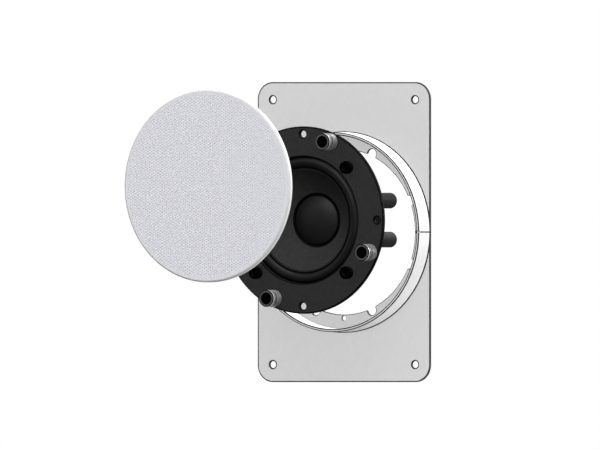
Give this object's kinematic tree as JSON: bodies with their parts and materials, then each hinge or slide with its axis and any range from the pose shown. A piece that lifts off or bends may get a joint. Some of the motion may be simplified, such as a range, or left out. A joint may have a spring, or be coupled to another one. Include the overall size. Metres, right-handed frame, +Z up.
{
  "type": "in-wall loudspeaker",
  "caption": "Round in-wall loudspeaker shown drawn apart: mounting plate with plaster ring, speaker unit on a flat baffle, and a round perforated grille.",
  "frame": {"origin": "centre of the four plate screw holes, on the plate's back face", "axes": "+Y out of the plate's back face into the wall, +Z up, +X to the right seen from the front"},
  "size_m": [0.1334, 0.1816, 0.2],
  "materials": {
    "plate_grey": "powder-coated light grey",
    "ring_white": "coated white",
    "baffle_black": "satin black",
    "post_metal": "turned, dark front lip",
    "magnet_dark": "dark nickel plate",
    "zinc_steel": "zinc plated",
    "black_oxide": "black oxide",
    "basket_black": "fine black powder coat",
    "surround_rubber": "satin black rubber",
    "spider_cloth": "impregnated cloth",
    "ferrite": "dark grey ferrite",
    "moulded_black": "fine texture",
    "cap_black": "satin black",
    "brass": "turned",
    "lug_board": "phenolic board",
    "tinned_brass": "tinned",
    "tinsel": "braided copper and cotton",
    "wire_jacket": "soft jacket",
    "cone_black": "matt black paper",
    "cap_cone_black": "satin black",
    "former_foil": "foil",
    "copper": "enamelled copper wire",
    "grille_white": "powder-coated, perforated",
    "scrim_cloth": "light cloth"
  },
  "bodies": {
    "mounting_kit": {"mounting_plate": "plate_grey", "plaster_ring": "ring_white"},
    "speaker_unit": {"baffle_ring": "baffle_black", "grille_post_1": "post_metal", "grille_post_2": "post_metal", "grille_post_3": "post_metal", "grille_post_4": "post_metal", "post_magnet_1": "magnet_dark", "post_magnet_2": "magnet_dark", "post_magnet_3": "magnet_dark", "post_magnet_4": "magnet_dark", "post_screws": "zinc_steel", "driver_screws": "black_oxide", "basket": "basket_black", "surround": "surround_rubber", "spider": "spider_cloth", "top_plate": "zinc_steel", "magnet_ring": "ferrite", "pole_yoke": "zinc_steel", "terminal_box": "moulded_black", "terminal_cap_lower": "cap_black", "terminal_cap_upper": "cap_black", "terminal_stud_lower": "brass", "terminal_stud_upper": "brass", "terminal_nuts": "brass", "lug_strip": "lug_board", "solder_lugs": "tinned_brass", "tinsel_lead_lower": "tinsel", "tinsel_lead_upper": "tinsel", "hookup_wire_lower": "wire_jacket", "hookup_wire_upper": "wire_jacket"},
    "cone_assembly": {"cone": "cone_black", "dust_cap": "cap_cone_black", "voice_coil_former": "former_foil", "voice_coil": "copper"},
    "grille": {"grille_sheet": "grille_white", "grille_scrim": "scrim_cloth"}
  },
  "joints": [
    {"name": "speaker_insert", "type": "slide", "parent": "mounting_kit", "child": "speaker_unit", "axis": [0, 0.9883, -0.1523], "range_m": [0, 0.05251]},
    {"name": "grille_fit", "type": "slide", "parent": "speaker_unit", "child": "grille", "axis": [0, 0.9807, -0.1955], "range_m": [0, 0.11563]},
    {"name": "cone_travel", "type": "slide", "parent": "speaker_unit", "child": "cone_assembly", "axis": [0, -1, 0], "range_m": [-0.003, 0.003], "stiffness_N_per_m": 1250, "deforming": ["surround", "spider", "tinsel_lead_lower", "tinsel_lead_upper"]}
  ]
}
